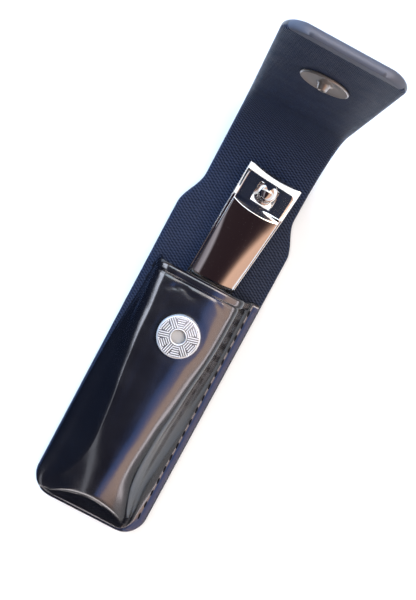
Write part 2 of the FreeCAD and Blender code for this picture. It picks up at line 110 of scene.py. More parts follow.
def emitting(name, colour, strength):
    material = bpy.data.materials.new(name)
    material.use_nodes = True
    nodes = material.node_tree.nodes
    nodes.clear()
    glow = nodes.new("ShaderNodeEmission")
    glow.inputs["Color"].default_value = (*colour, 1)
    glow.inputs["Strength"].default_value = strength
    out = nodes.new("ShaderNodeOutputMaterial")
    material.node_tree.links.new(glow.outputs["Emission"], out.inputs["Surface"])
    return material, glow


def meshed(name, bm):
    """A finished mesh from the working one, which is freed."""
    mesh = bpy.data.meshes.new(name)
    bm.to_mesh(mesh)
    bm.free()
    return mesh


def card(name, x_span, y_span, height, material, tilt=0.0):
    """A flat stage card that only mirrors see, tilted about its middle."""
    bm = bmesh.new()
    middle = Matrix.Translation((sum(x_span) / 2, sum(y_span) / 2, height))
    spread = Matrix.Diagonal((x_span[1] - x_span[0], y_span[1] - y_span[0], 1, 1))
    place = middle @ Matrix.Rotation(tilt, 4, "Y") @ spread
    bmesh.ops.create_grid(bm, x_segments=1, y_segments=1, size=0.5, matrix=place)
    mesh = meshed(name, bm)
    mesh.materials.append(material)
    piece = new_object(name, mesh)
    piece.visible_camera = False
    piece.visible_diffuse = False
    piece.visible_shadow = False
    piece.visible_transmission = False


CEILING_HALF = 6.0
CEILING_HEIGHT = 0.75


def banded_ceiling(name, y_span, bands, strength):
    """A ceiling card whose colour runs across X in bands of degrees from overhead towards the right."""
    material, glow = emitting(name, bands[0][1], strength)
    nodes, links = material.node_tree.nodes, material.node_tree.links
    place = nodes.new("ShaderNodeTexCoord")
    split = nodes.new("ShaderNodeSeparateXYZ")
    span = nodes.new("ShaderNodeMapRange")
    span.inputs["From Min"].default_value = -CEILING_HALF
    span.inputs["From Max"].default_value = CEILING_HALF
    colours = nodes.new("ShaderNodeValToRGB")
    stops = colours.color_ramp.elements
    for index, (angle, colour) in enumerate(bands):
        spot = CEILING_HEIGHT * math.tan(math.radians(angle)) / (2 * CEILING_HALF) + 0.5
        stop = stops[index] if index < 2 else stops.new(spot)
        stop.position = spot
        stop.color = (*colour, 1)
    links.new(place.outputs["Object"], split.inputs["Vector"])
    links.new(split.outputs["X"], span.inputs["Value"])
    links.new(span.outputs["Result"], colours.inputs["Fac"])
    links.new(colours.outputs["Color"], glow.inputs["Color"])
    card(name, (-CEILING_HALF, CEILING_HALF), y_span, CEILING_HEIGHT, material)


banded_ceiling("ceiling", (-9.0, 0.11), (
    (-82, (0.04, 0.04, 0.06)), (-70, (0.03, 0.03, 0.045)), (-44, (0.06, 0.05, 0.06)),
    (-38, (0.24, 0.22, 0.25)), (-26, (0.36, 0.33, 0.36)), (-22, (0.030, 0.019, 0.022)),
    (6, (0.024, 0.014, 0.017)), (13, (0.05, 0.030, 0.032)), (18, (0.42, 0.25, 0.18)),
    (22, (0.80, 0.50, 0.36)), (52, (0.74, 0.46, 0.34)), (58, (1.0, 0.95, 0.95)), (72, (1.0, 0.97, 1.0))), 1.0)
warm_wall, _ = emitting("warm_wall", (0.78, 0.50, 0.37), 1.0)
card("warm_wall", (-1.3, 2.6), (0.46, 2.6), CEILING_HEIGHT, warm_wall)
flag_finish, _ = emitting("dark_cloth", (0.006, 0.009, 0.02), 1.0)
card("dark_cloth_left", (-6.0, 0.0), (-1.5, 0.012), -0.02 * MM, flag_finish)
card("dark_wall_left", (-6.4, -5.6), (-9.0, 3.0), 0.35, flag_finish, math.pi / 2)
card("dark_cloth_end", (0.0, 0.3), (-1.5, -0.0695), -0.02 * MM, flag_finish)

world = bpy.data.worlds.new("studio")
scene.world = world
world.use_nodes = True
air = world.node_tree.nodes
air.clear()
room_light = air.new("ShaderNodeBackground")
room_light.inputs["Color"].default_value = (0.97, 0.98, 1.0, 1)
room_light.inputs["Strength"].default_value = 0.45
white_wall = air.new("ShaderNodeBackground")
white_wall.inputs["Color"].default_value = (1, 1, 1, 1)
seen_by = air.new("ShaderNodeLightPath")


def maths(nodes, operation, second=None):
    """A math node, with its second value where that is a constant."""
    node = nodes.new("ShaderNodeMath")
    node.operation = operation
    if second is not None:
        node.inputs[1].default_value = second
    return node


seen_or_mirrored = maths(air, "MAXIMUM")
seen_or_through = maths(air, "MAXIMUM")
wall_mix = air.new("ShaderNodeMixShader")
sky_out = air.new("ShaderNodeOutputWorld")
air_links = world.node_tree.links
air_links.new(seen_by.outputs["Is Camera Ray"], seen_or_mirrored.inputs[0])
air_links.new(seen_by.outputs["Is Glossy Ray"], seen_or_mirrored.inputs[1])
air_links.new(seen_or_mirrored.outputs[0], seen_or_through.inputs[0])
air_links.new(seen_by.outputs["Is Transmission Ray"], seen_or_through.inputs[1])
air_links.new(seen_or_through.outputs[0], wall_mix.inputs["Fac"])
air_links.new(room_light.outputs[0], wall_mix.inputs[1])
air_links.new(white_wall.outputs[0], wall_mix.inputs[2])
air_links.new(wall_mix.outputs[0], sky_out.inputs["Surface"])


def new_finish(name):
    """A material with its nodes, its links and its shader."""
    material = bpy.data.materials.new(name)
    material.use_nodes = True
    tree = material.node_tree
    return material, tree.nodes, tree.links, tree.nodes["Principled BSDF"]


floor_finish, _, _, floor_shader = new_finish("table_top")
floor_shader.inputs["Base Color"].default_value = (0.97, 0.97, 0.97, 1)
floor_shader.inputs["Roughness"].default_value = 1.0
floor_shader.inputs["Specular IOR Level"].default_value = 0.0
bm = bmesh.new()
bmesh.ops.create_grid(bm, x_segments=1, y_segments=1, size=3.0)
floor_mesh = meshed("table_top", bm)
floor_mesh.materials.append(floor_finish)
floor = new_object("table_top", floor_mesh)
floor.matrix_world = Matrix.Translation((0, 0, -0.05 * MM))


# Back, neck and flap: one long strap of two leathers glued together, smooth outside and embossed inside.
# It lies flat under the pocket, narrows at the shoulders, bends up round the clipper
# and ends in a turned tip.
joints = {joint["name"]: joint for joint in frame["record"]["behaviour"]["joints"]}
fold_points = [Vector(joints[name]["pos_m"]) for name in ("neck_fold", "flap_fold")]
back_hinge = joints["flap_back"]["pos_m"][1]
strap_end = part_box("back_outer")[0].y
case_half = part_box("back_outer")[1].x
flap_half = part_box("flap_edge")[1].x
strap_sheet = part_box("back_lining")[1].z
fold_start = fold_points[0].y
first_link = fold_points[1] - fold_points[0]
fold_turn = math.atan2(first_link.z, first_link.y)
fold_pitch = first_link.length
bend_total = 2 * fold_turn
bend_radius = fold_pitch / 2 / math.tan(fold_turn / 2)
bend_start = fold_start - fold_pitch / 2
bend_end = bend_start + bend_radius * bend_total
flap_length = 71 * MM
strap_tip = bend_end + flap_length - fold_pitch / 2
neck_span = fold_start - back_hinge
shoulder_low = back_hinge + 0.165 * neck_span
shoulder_high = fold_start - 0.39 * neck_span
case_corner = 6 * MM
flap_corner = 5.5 * MM
TIP_BAND = 2.3 * MM


def smoothed(share):
    share = min(1.0, max(0.0, share))
    return share * share * (3 - 2 * share)


def strap_point(x, s, rise):
    """A point of the strap at x across, s along its lining's face and rise above that face."""
    if s < bend_start:
        return Vector((x, s, strap_sheet + rise))
    turn = min(bend_total, (s - bend_start) / bend_radius)
    past = max(0.0, s - bend_end)
    reach = bend_radius - rise
    y = bend_start + reach * math.sin(turn) + past * math.cos(turn)
    z = strap_sheet + bend_radius - reach * math.cos(turn) + past * math.sin(turn)
    return Vector((x, y, z))


def corner_half(half, radius, left):
    """Half the width of a round-cornered end where so much length is left."""
    short = max(0.0, radius - left)
    return half - radius + math.sqrt(max(0.0, radius ** 2 - short ** 2))


def strap_half(s):
    half = case_half + (flap_half - case_half) * smoothed((s - shoulder_low) / (shoulder_high - shoulder_low))
    if s < 0:
        return corner_half(half, case_corner, s - strap_end)
    return corner_half(half, flap_corner, strap_tip - s)


def strap_depth(s):
    """Half the strap's thickness, which rolls to nothing at both ends and is fuller at the turned tip."""
    left = strap_tip - s
    half = strap_sheet / 2 * (1 + 0.08 * smoothed((2 * TIP_BAND - left) / (2 * TIP_BAND)))
    short = max(0.0, half - min(left, s - strap_end)) / half
    return half * max(0.0, 1 - short ** 4) ** 0.25


def section_ring(shares, corner_steps):
    """Places round a strip's section: share of the flat half, share and side of the round, height on it."""
    ring = [(share, 0.0, 1, 1.0) for share in shares]
    for sign, side in ((1, 1), (1, -1), (-1, -1), (-1, 1)):
        for step in range(corner_steps + 1):
            part = step / corner_steps
            turn = math.pi / 2 * (part if sign * side < 0 else 1 - part)
            ring.append((sign, sign * math.cos(turn), side, side * math.sin(turn)))
        if (sign, side) == (1, -1):
            ring.extend((share, 0.0, -1, -1.0) for share in reversed(shares))
    return ring


def formed_strip(name, rows, shares, half_width, half_depth, edge, place):
    """A closed strip on a rolled-up grid: flat faces, round long edges, and a UV map of x and length."""
    ring = section_ring(shares, 4)
    bm = bmesh.new()
    count = len(ring)
    bmesh.ops.create_grid(bm, x_segments=count, y_segments=len(rows) - 1, size=0.5)
    sheet_uv = bm.loops.layers.uv.new("sheet")
    spots = {}
    for vert in bm.verts:
        column = round((vert.co.x + 0.5) * count)
        row = round((vert.co.y + 0.5) * (len(rows) - 1))
        spots[vert] = (column, row)
    flat = {}
    for vert, (column, row) in spots.items():
        s = rows[row]
        share, aside, side, height = ring[column % count]
        depth = half_depth(s)
        radius = min(edge, depth)
        x = share * (half_width(s) - radius) + aside * radius
        flat[vert] = (x, s)
        vert.co = place(x, s, side * (depth - radius) + height * radius - depth)
    for face in bm.faces:
        face.smooth = True
        face.material_index = 0 if min(ring[spots[vert][0] % count][3] for vert in face.verts) > 0.3 else 1
        for loop in face.loops:
            loop[sheet_uv].uv = flat[loop.vert]
    bmesh.ops.remove_doubles(bm, verts=bm.verts, dist=1e-6)
    rims = [rim for rim in bm.edges if rim.is_boundary]
    bmesh.ops.holes_fill(bm, edges=rims, sides=0)
    for rim in rims:
        rim.smooth = False
    bmesh.ops.recalc_face_normals(bm, faces=bm.faces)
    return new_object(name, meshed(name, bm))


def new_group(name, inputs, outputs):
    """A shader node group with its nodes, links, input node and output node."""
    group = bpy.data.node_groups.new(name, "ShaderNodeTree")
    for way, sockets in (("INPUT", inputs), ("OUTPUT", outputs)):
        for socket in sockets:
            kind = "NodeSocketVector" if socket == "Vector" else "NodeSocketFloat"
            group.interface.new_socket(socket, in_out=way, socket_type=kind)
    nodes = group.nodes
    return group, nodes, group.links, nodes.new("NodeGroupInput"), nodes.new("NodeGroupOutput")


def leather_grain_group():
    """Fine pebble grain of finished leather: a height and a mottle, both from 0 to 1."""
    group, nodes, links, given, result = new_group(
        "leather_grain", ("Vector", "Pebbles"), ("Height", "Mottle"))
    pebbles = nodes.new("ShaderNodeTexVoronoi")
    pebbles.feature = "SMOOTH_F1"
    mottle = nodes.new("ShaderNodeTexNoise")
    mottle.inputs["Scale"].default_value = 160
    mottle.inputs["Detail"].default_value = 4
    creases = nodes.new("ShaderNodeTexNoise")
    creases.inputs["Scale"].default_value = 900
    creases.inputs["Detail"].default_value = 6
    height = maths(nodes, "MULTIPLY_ADD", 0.6)
    links.new(given.outputs["Vector"], pebbles.inputs["Vector"])
    links.new(given.outputs["Pebbles"], pebbles.inputs["Scale"])
    links.new(given.outputs["Vector"], mottle.inputs["Vector"])
    links.new(given.outputs["Vector"], creases.inputs["Vector"])
    links.new(pebbles.outputs["Distance"], height.inputs[0])
    links.new(creases.outputs["Fac"], height.inputs[2])
    links.new(height.outputs[0], result.inputs["Height"])
    links.new(mottle.outputs["Fac"], result.inputs["Mottle"])
    return group


leather_grain = leather_grain_group()


def value_range(material, source, low, high):
    """Spread a 0 to 1 value over a range."""
    spread = material.node_tree.nodes.new("ShaderNodeMapRange")
    spread.inputs["From Min"].default_value = 0.3
    spread.inputs["From Max"].default_value = 0.7
    spread.inputs["To Min"].default_value = low
    spread.inputs["To Max"].default_value = high
    material.node_tree.links.new(source, spread.inputs["Value"])
    return spread.outputs["Result"]


def colour_between(material, source, dark, light):
    mix = material.node_tree.nodes.new("ShaderNodeMix")
    mix.data_type = "RGBA"
    mix.inputs["A"].default_value = (*dark, 1)
    mix.inputs["B"].default_value = (*light, 1)
    material.node_tree.links.new(source, mix.inputs["Factor"])
    return mix.outputs["Result"]


def smooth_leather(name, dark, light, shine, grain_depth):
    """Finished leather with a gloss coat: navy-black, faintly mottled, with a very fine grain."""
    material, nodes, links, shader = new_finish(name)
    place = nodes.new("ShaderNodeTexCoord")
    grain = nodes.new("ShaderNodeGroup")
    grain.node_tree = leather_grain
    grain.inputs["Pebbles"].default_value = 1900
    bump = nodes.new("ShaderNodeBump")
    bump.inputs["Strength"].default_value = grain_depth
    bump.inputs["Distance"].default_value = 0.1 * MM
    links.new(place.outputs["Object"], grain.inputs["Vector"])
    links.new(grain.outputs["Height"], bump.inputs["Height"])
    links.new(bump.outputs["Normal"], shader.inputs["Normal"])
    links.new(colour_between(material, grain.outputs["Mottle"], dark, light), shader.inputs["Base Color"])
    links.new(value_range(material, grain.outputs["Mottle"], shine, shine + 0.06), shader.inputs["Roughness"])
    shader.inputs["Coat Weight"].default_value = 0.35
    shader.inputs["Coat Roughness"].default_value = 0.13
    return material


def cross_hatch_group():
    """Two slanting rows of fine ridges crossing each other, as embossed lining leather has."""
    group, nodes, links, given, result = new_group("cross_hatch", ("Vector", "Pitch"), ("Height",))
    waver = nodes.new("ShaderNodeTexNoise")
    waver.inputs["Scale"].default_value = 850
    waver.inputs["Detail"].default_value = 2
    shifted = nodes.new("ShaderNodeVectorMath")
    shifted.operation = "MULTIPLY_ADD"
    shifted.inputs[1].default_value = (0.5 * MM, 0.5 * MM, 0)
    links.new(given.outputs["Vector"], waver.inputs["Vector"])
    links.new(waver.outputs["Color"], shifted.inputs[0])
    links.new(given.outputs["Vector"], shifted.inputs[2])
    waves = []
    for slant, lean in ((1, 30), (-1, 22)):
        turned = nodes.new("ShaderNodeVectorRotate")
        turned.rotation_type = "Z_AXIS"
        turned.inputs["Angle"].default_value = slant * math.radians(lean)
        split = nodes.new("ShaderNodeSeparateXYZ")
        turns = maths(nodes, "DIVIDE")
        phase = maths(nodes, "MULTIPLY", 2 * math.pi)
        wave = maths(nodes, "SINE")
        links.new(shifted.outputs["Vector"], turned.inputs["Vector"])
        links.new(turned.outputs["Vector"], split.inputs["Vector"])
        links.new(split.outputs["Y"], turns.inputs[0])
        links.new(given.outputs["Pitch"], turns.inputs[1])
        links.new(turns.outputs[0], phase.inputs[0])
        links.new(phase.outputs[0], wave.inputs[0])
        waves.append(wave)
    crossed = maths(nodes, "MULTIPLY_ADD", 0.55)
    links.new(waves[1].outputs[0], crossed.inputs[0])
    links.new(waves[0].outputs[0], crossed.inputs[2])
    lifted = nodes.new("ShaderNodeMapRange")
    lifted.inputs["From Min"].default_value = -1.5
    lifted.inputs["From Max"].default_value = 1.5
    links.new(crossed.outputs[0], lifted.inputs["Value"])
    links.new(lifted.outputs["Result"], result.inputs["Height"])
    return group


cross_hatch = cross_hatch_group()
lining_finish, nodes, links, lining_shader = new_finish("lining_leather")
lining_place = nodes.new("ShaderNodeUVMap")
lining_place.uv_map = "sheet"
hatch = nodes.new("ShaderNodeGroup")
hatch.node_tree = cross_hatch
hatch.inputs["Pitch"].default_value = 0.72 * MM
lining_mottle = nodes.new("ShaderNodeGroup")
lining_mottle.node_tree = leather_grain
lining_mottle.inputs["Pebbles"].default_value = 1500
lining_height = maths(nodes, "MULTIPLY_ADD", 0.35)
lining_bump = nodes.new("ShaderNodeBump")
lining_bump.inputs["Strength"].default_value = 0.55
lining_bump.inputs["Distance"].default_value = 0.22 * MM
links.new(lining_place.outputs["UV"], hatch.inputs["Vector"])
links.new(lining_place.outputs["UV"], lining_mottle.inputs["Vector"])
links.new(lining_mottle.outputs["Height"], lining_height.inputs[0])
links.new(hatch.outputs["Height"], lining_height.inputs[2])
links.new(lining_height.outputs[0], lining_bump.inputs["Height"])
links.new(lining_bump.outputs["Normal"], lining_shader.inputs["Normal"])
# The lining's colour follows the hatch's height, darker in the grooves and lighter on the ridges: painted
# shade in the grooves and painted light on the ridges.
LINING_GROOVE_SHADE, LINING_RIDGE_LIGHT = (0.004, 0.007, 0.016), (0.040, 0.050, 0.088)
lining_hatch_shading = colour_between(lining_finish, hatch.outputs["Height"], LINING_GROOVE_SHADE, LINING_RIDGE_LIGHT)
links.new(lining_hatch_shading, lining_shader.inputs["Base Color"])
lining_shader.inputs["Specular IOR Level"].default_value = 0.06
lining_shine = value_range(lining_finish, lining_mottle.outputs["Mottle"], 0.36, 0.48)
links.new(lining_shine, lining_shader.inputs["Roughness"])

outer_finish = smooth_leather("outer_leather", (0.010, 0.011, 0.017), (0.015, 0.017, 0.026), 0.34, 0.25)
# The tip's turned band is a lighter, matt copy of the outer leather: painted sheen for the light its rolled
# edge catches.
tip_band_sheen_finish = smooth_leather("edge_leather", (0.060, 0.066, 0.090), (0.085, 0.088, 0.115), 0.48, 0.15)
tip_band_sheen_finish.node_tree.nodes["Principled BSDF"].inputs["Coat Weight"].default_value = 0.0
ACROSS = [-1 + 2 * step / 24 for step in range(25)]
END_STRETCH = 6.2 * MM
END_STEPS = (0, 0.02, 0.08, 0.18, 0.32, 0.5, 0.75, 1.05, 1.5, 1.9, 2.1, 2.3, 2.5, 3, 3.6, 4.3, 5.1, 6)


def strap_piece(name, start, end, step, *solids):
    """One stretch of the strap: lining inside, smooth leather outside, and a lighter matt copy of it with
    painted sheen on the tip's turned band.
    """
    count = max(2, round((end - start) / step))
    rows = [start + (end - start) * row / count for row in range(count + 1)]
    for limit, sign in ((strap_end, 1), (strap_tip, -1)):
        if min(abs(start - limit), abs(end - limit)) < 1e-6:
            rows = [s for s in rows if abs(s - limit) > END_STRETCH]
            rows += [limit + sign * part * MM for part in END_STEPS]
    piece = formed_strip(name, sorted(rows), ACROSS, strap_half, strap_depth, strap_sheet, strap_point)
    for finish in (lining_finish, outer_finish, tip_band_sheen_finish):
        piece.data.materials.append(finish)
    sheet_map = piece.data.uv_layers["sheet"].data
    for face in piece.data.polygons:
        length = sum(sheet_map[loop].uv[1] for loop in face.loop_indices) / face.loop_total
        if length > strap_tip - TIP_BAND:
            face.material_index = 2
    if solids:
        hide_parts(*solids)
    return piece


def fold_blend(piece):
    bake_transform(piece)


root_cut = back_hinge + 0.45 * neck_span
back_cut = back_hinge - 5 * MM
wall_cut = (bend_start + bend_end) / 2
flap_cut = bend_end + 3 * MM
COARSE_STEP, FLAP_STEP, BEND_STEP = 2.0 * MM, 1.5 * MM, 0.5 * MM
back = strap_piece("case_back", strap_end, back_cut, COARSE_STEP, "back_outer", "back_lining")
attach(back, "case")
neck_turn = strap_piece("neck_turn", back_cut, root_cut, BEND_STEP, "neck_root_outer", "neck_root_lining")
fold_blend(neck_turn)
lower_fold = strap_piece(
    "neck_fold_lower", root_cut, wall_cut, BEND_STEP, "neck_wall_outer", "neck_wall_lining")
fold_blend(lower_fold)
upper_fold = strap_piece("neck_fold_upper", wall_cut, flap_cut, BEND_STEP)
fold_blend(upper_fold)
flap = strap_piece("flap", flap_cut, strap_tip, FLAP_STEP, "flap_outer", "flap_lining", "flap_edge")
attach(flap, "flap")


# Pocket front: one piece of soft gloss leather, moulded over the clipper and sewn to the back by its margin.
# The left ridge is sharp and the right one round, both drawn in below the snap,
# and the end slopes down to the seam.
front_low, front_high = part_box("pocket_front")
front_sheet = 1.3 * MM
margin_top = strap_sheet + front_sheet
end_slope = math.radians(50)
end_foot = strap_end + 1.0 * MM
LEFT_RIDGE = ((0, 12.9), (5, 12.4), (15, 11.3), (20, 10.6), (30, 8.8), (37, 7.6), (43, 7.1), (50, 6.7),
              (56, 7.4), (61, 9.0), (66, 11.4), (72, 12.6))
RIGHT_RIDGE = ((0, 10.0), (12, 9.9), (18, 9.6), (25, 8.8), (32, 8.1), (40, 7.3), (48, 7.0), (55, 7.0),
               (60, 8.4), (66, 10.8), (72, 12.8))
TOP_HEIGHT = ((0, 15.8), (42, 15.8), (50, 14.8), (60, 11.9), (72, 7.6))
LEFT_HEIGHT = ((0, 15.8), (40, 15.7), (48, 14.3), (55, 12.0), (61, 8.6), (66, 4.9), (72, 3.6))
RIGHT_HEIGHT = ((0, 15.8), (42, 15.8), (50, 14.4), (57, 12.2), (62, 9.8), (67, 6.2), (72, 4.0))


def along_table(table, back):
    """Value at a distance back, read straight between the entries."""
    for (low, first), (high, second) in zip(table, table[1:]):
        if back <= high:
            return first + (second - first) * (back - low) / (high - low)
    return table[-1][1]


def eased_table(table, back):
    """The same value averaged over a few millimetres, so that no entry shows as a kink."""
    spots = (-3, -1.5, 0, 1.5, 3)
    return sum(along_table(table, max(0.0, back + spot)) for spot in spots) / len(spots)


LEFT_FOOT = ((0, 13.5), (8, 13.7), (25, 15.0), (40, 15.4), (72, 15.4))
FULL_FALL = 12.2
RIDGE_ROUND = ((0, 4.2), (10, 3.8), (22, 2.2), (30, 1.2), (72, 0.9))


def rounded_corner(before, corner, after, reach):
    """Five points that round a corner between two neighbours over a reach along each side."""
    corner, before, after = Vector(corner), Vector(before), Vector(after)
    reach = min(reach, 0.6 * (before - corner).length, 0.6 * (after - corner).length)
    first = corner + (before - corner).normalized() * reach
    last = corner + (after - corner).normalized() * reach
    shares = (0, 0.25, 0.5, 0.75, 1)
    return [tuple(first * (1 - t) ** 2 + corner * 2 * t * (1 - t) + last * t * t) for t in shares]


def front_section(y):
    """The section's guide points from the left margin to the right one, in metres."""
    back = -y / MM
    top = eased_table(TOP_HEIGHT, back)
    left = eased_table(LEFT_RIDGE, back)
    left_top = eased_table(LEFT_HEIGHT, back)
    right = eased_table(RIGHT_RIDGE, back)
    right_top = eased_table(RIGHT_HEIGHT, back)
    low = margin_top / MM
    left_fall = left_top - low
    right_fall = right_top - low
    foot = eased_table(LEFT_FOOT, back)
    left_reach = foot - left
    right_reach = 13.2 - right
    roll = right_fall / FULL_FALL
    flank = (-left - 0.58 * left_reach, low + 0.36 * left_fall)
    inside = (-left * 0.5, top - 0.3 * (top - left_top))
    points = [
        (-foot - 0.25, low - 0.75), (-foot - 0.15, low - 0.3), (-foot, low),
        (-foot + 0.08 * left_reach, low + 0.1 * left_fall), flank,
        *rounded_corner(flank, (-left, left_top), inside, eased_table(RIDGE_ROUND, back)),
        inside, (0, top),
        (right * 0.42, top - 0.25 * roll - 0.2 * (top - right_top)),
        (right * 0.74, top - 0.9 * roll - 0.55 * (top - right_top)), (right, right_top - 2.1 * roll),
        (right + 0.30 * right_reach, low + 0.56 * right_fall),
        (right + 0.62 * right_reach, low + 0.25 * right_fall),
        (13.1, low + 0.05 * right_fall), (13.9, low + 0.03), (14.7, low - 0.07), (15.65, low - 0.2),
    ]
    return [Vector((x, 0, z)) * MM for x, z in points]


def heading(before, middle, after):
    """Direction of the curve at the middle point, the nearer neighbour counting more."""
    back, ahead = middle - before, after - middle
    gone, left = back.length, ahead.length
    if min(gone, left) < 1e-9:
        return (after - before).normalized()
    return (back * (left / gone) + ahead * (gone / left)) / (gone + left)


def through(points, place):
    """A smooth curve through the guide points at a place counted in points."""
    index = min(int(place), len(points) - 2)
    share = place - index
    before = points[max(index - 1, 0)]
    first, second = points[index], points[index + 1]
    after = points[min(index + 2, len(points) - 1)]
    span = (second - first).length
    slope_in = heading(before, first, second) * span
    slope_out = heading(first, second, after) * span
    return (first * (2 * share ** 3 - 3 * share ** 2 + 1) + slope_in * (share ** 3 - 2 * share ** 2 + share)
            + second * (3 * share ** 2 - 2 * share ** 3) + slope_out * (share ** 3 - share ** 2))


snap_low, snap_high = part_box("socket_cover")
snap_centre = (snap_low + snap_high) / 2
HEM = 2.3 * MM


def front_point(place, y, rise):
    points = front_section(y)
    point = through(points, place)
    ahead = through(points, min(place + 0.02, len(points) - 1)) - through(points, max(place - 0.02, 0))
    outward = Vector((-ahead.z, 0, ahead.x)).normalized()
    point.y = y
    point += outward * rise
    return point


def front_relief(x, y):
    """Height of the hem, the dimple round the snap, a few creases under the hem and a slight unevenness."""
    rise = 0.45 * MM * (1 - smoothed((-y - HEM + 0.25 * MM) / (0.5 * MM)))
    rise -= 0.16 * MM * math.exp(-((-y - HEM - 0.35 * MM) / (0.35 * MM)) ** 2)
    away = math.hypot(x - snap_centre.x, y - snap_centre.y)
    rise -= 0.07 * MM * math.exp(-((away - 5.9 * MM) / (0.9 * MM)) ** 2)
    for centre, lean, length, depth in (((-6.4, -4.6), 24, 2.2, 0.2), ((-3.6, -4.2), -20, 1.5, 0.16),
                                        ((-1.4, -4.8), 16, 1.4, 0.14), ((6.4, -4.4), -30, 2.4, 0.2)):
        dx, dy = x - centre[0] * MM, y - centre[1] * MM
        turn = math.radians(lean)
        run = (dx * math.cos(turn) + dy * math.sin(turn)) / (length * MM)
        cross = (dy * math.cos(turn) - dx * math.sin(turn)) / (0.45 * MM)
        rise -= depth * MM * math.exp(-run * run) * math.exp(-cross * cross)
    rise += 0.12 * MM * noise.noise(Vector((x, y, 0)) * 130)
    return rise


guide_count = len(front_section(0.0))
COLUMNS = 160
FRONT_ROWS = [0, 0.0015, 0.004, 0.009, 0.016, 0.024, 0.030, 0.034, 0.037, 0.040, 0.044, 0.05]
FRONT_ROWS += [0.05 + 0.925 * step / 96 for step in range(1, 97)] + [0.983, 0.990, 0.995, 0.998, 1.0]
END_ROWS = [0.01, 0.03, 0.07, 0.14, 0.25, 0.4, 0.55, 0.7, 0.85, 1.0]
MARGIN_ROWS = [0.2, 0.4, 0.6, 0.8, 0.92, 1.0]
bm = bmesh.new()
row_total = len(FRONT_ROWS) + len(END_ROWS) + len(MARGIN_ROWS)
bmesh.ops.create_grid(bm, x_segments=COLUMNS, y_segments=row_total - 1, size=0.5)
margin_end = front_low.y
margin_half = front_high.x
CREASE_EASE = 1.5 * MM
CREASE_TURN = 0.9
crease = {}
for column in range(COLUMNS + 1):
    place = (guide_count - 1) * column / COLUMNS
    y = end_foot
    for step in range(12):
        y = end_foot + max(1.0 * MM, (front_point(place, y, 0).z - margin_top) / math.tan(end_slope))
    crease[column] = y
for vert in bm.verts:
    column = round((vert.co.x + 0.5) * COLUMNS)
    row = round((vert.co.y + 0.5) * (row_total - 1))
    place = (guide_count - 1) * column / COLUMNS
    ease = min(CREASE_EASE, 0.45 * (crease[column] - end_foot))
    if row < len(FRONT_ROWS):
        y = crease[column] * FRONT_ROWS[row]
        point = front_point(place, y, 0)
        body = smoothed((point.z - margin_top) / (1.5 * MM))
        rise = front_relief(point.x, y) * max(0.25, body)
        edge = max(0.0, 1 - FRONT_ROWS[row] / 0.009)
        point = front_point(place, y, rise - 0.55 * MM * edge * edge)
        point.z -= CREASE_TURN * max(0.0, ease - y + crease[column]) ** 2 / (4 * ease) * body
    elif row < len(FRONT_ROWS) + len(END_ROWS):
        share = END_ROWS[row - len(FRONT_ROWS)]
        point = front_point(place, crease[column], 0)
        body = smoothed((point.z - margin_top) / (1.5 * MM))
        point.y += (end_foot - point.y) * share
        point.z += (margin_top - point.z) * share
        point.z -= CREASE_TURN * max(0.0, ease - crease[column] + point.y) ** 2 / (4 * ease) * body
        point.z -= 0.35 * MM * math.sin(math.pi * share) * smoothed((crease[column] - end_foot) / (3 * MM))
    else:
        share = MARGIN_ROWS[row - len(FRONT_ROWS) - len(END_ROWS)]
        point = front_point(place, crease[column], 0)
        point.y = end_foot + (margin_end - end_foot) * share
        point.z = margin_top - 0.05 * MM * share
    left = point.y - margin_end
    point.x *= corner_half(margin_half, case_corner - 0.5 * MM, left) / margin_half
    vert.co = point
for face in bm.faces:
    face.smooth = True
bmesh.ops.recalc_face_normals(bm, faces=bm.faces)
if sum(face.normal.z for face in bm.faces) < 0:
    bmesh.ops.reverse_faces(bm, faces=bm.faces)
front_mesh = meshed("pocket_front_leather", bm)
front_finish = smooth_leather("front_leather", (0.0045, 0.0045, 0.007), (0.0065, 0.0065, 0.0095), 0.19, 0.08)
front_mesh.materials.append(front_finish)
pocket = new_object("pocket_front_leather", front_mesh)
wall = pocket.modifiers.new("leather", "SOLIDIFY")
wall.thickness = front_sheet
wall.offset = -1
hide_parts("pocket_front")
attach(pocket, "case")
pocket_lit = bpy.data.collections.new("pocket_lit")
pocket_lit.objects.link(pocket)
STRIPS = (("blue_strip", 18, 0.20, (-1.1, 0.5), 2.3, (0.16, 0.36, 1.0)),
          ("tan_strip", 38, 0.34, (-1.1, 0.5), 7.0, (1.0, 0.72, 0.60)),
          ("lilac_strip", 56, 0.35, (-1.1, 0.5), 14.0, (1.0, 0.92, 0.97)),
          ("left_sheen", -55, 1.0, (-0.18, 0.2), 14.0, (0.80, 0.86, 1.0)),
          ("ridge_strip", -34, 0.16, (-2.2, -0.1), 2.2, (0.86, 0.90, 1.0)))
for name, angle, width, (first, last), power, colour in STRIPS:
    spot = Vector((0.6 * math.tan(math.radians(angle)), (first + last) / 2, 0.6))
    strip = soft_light(name, spot, spot - Vector((0, 0, 1)), width, last - first, power, colour, True)
    strip.light_linking.receiver_collection = pocket_lit
end_strip = soft_light(
    "end_strip", (0.0, -1.06, 0.18), (0, -0.06, 0.01), 1.0, 0.10, 4.0, (1.0, 0.93, 0.96), True)
end_strip.light_linking.receiver_collection = pocket_lit


